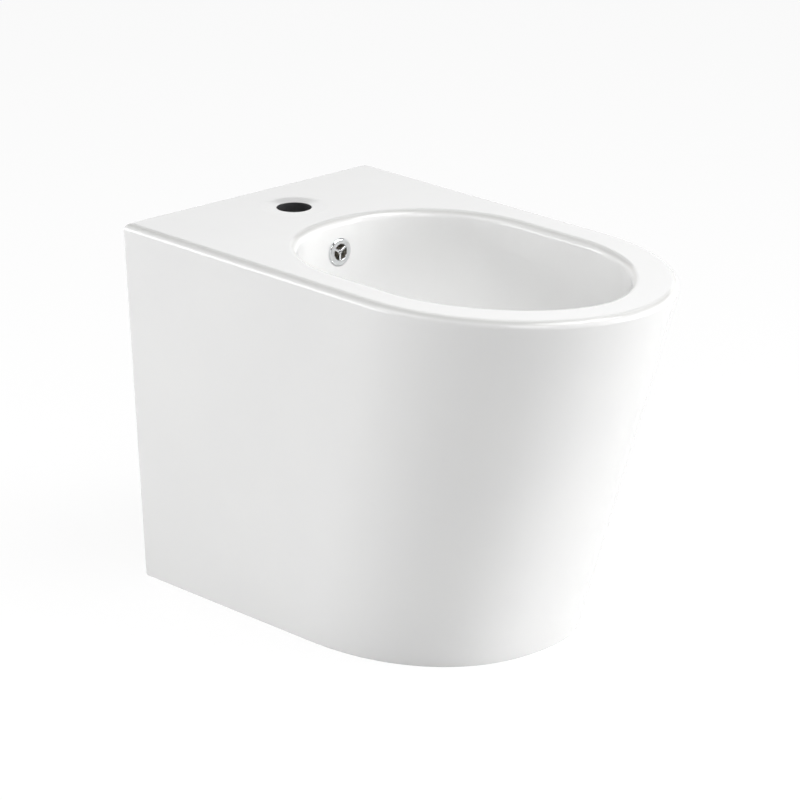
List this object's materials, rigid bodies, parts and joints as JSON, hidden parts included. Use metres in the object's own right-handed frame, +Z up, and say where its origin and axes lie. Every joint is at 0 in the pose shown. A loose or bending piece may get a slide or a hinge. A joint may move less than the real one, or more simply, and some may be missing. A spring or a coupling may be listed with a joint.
{
  "type": "back-to-wall bidet",
  "caption": "Floor-standing bidet that backs on to the wall: D-shaped ceramic body leaning in to its foot, oval bowl, tap hole, chrome overflow trim and push waste.",
  "frame": {"origin": "on the floor, under the middle of the body's width and length", "axes": "+X across to the right seen from the front, +Y to the wall, +Z up"},
  "size_m": [0.35, 0.59, 0.404],
  "materials": {
    "glaze": "white gloss glaze",
    "chrome": "polished chrome plate",
    "brass": "machined",
    "rubber": "matt",
    "plastic": "moulded nylon",
    "steel": "galvanised"
  },
  "bodies": {
    "pan": {"ceramic_body": "glaze", "overflow_trim": "chrome", "overflow_sleeve": "rubber", "waste_body": "chrome", "waste_gasket": "rubber", "waste_seal": "rubber", "slip_washer": "plastic", "back_nut": "brass", "cartridge_housing": "plastic", "cartridge_cap": "brass", "cartridge_spring": "steel", "latch_pin": "steel", "bracket_left": "steel", "bracket_right": "steel", "lug_plugs": "plastic", "lug_washers": "steel", "lug_bolts": "steel"},
    "plug": {"plug_cap": "chrome", "plug_seal": "rubber", "plunger": "brass"}
  },
  "joints": [
    {"name": "plug_slide", "type": "slide", "parent": "pan", "child": "plug", "axis": [0, 0, 1], "range_m": [-0.008, 0], "stiffness_N_per_m": 400, "springref_m": 0.012, "deforming": ["cartridge_spring"]}
  ]
}
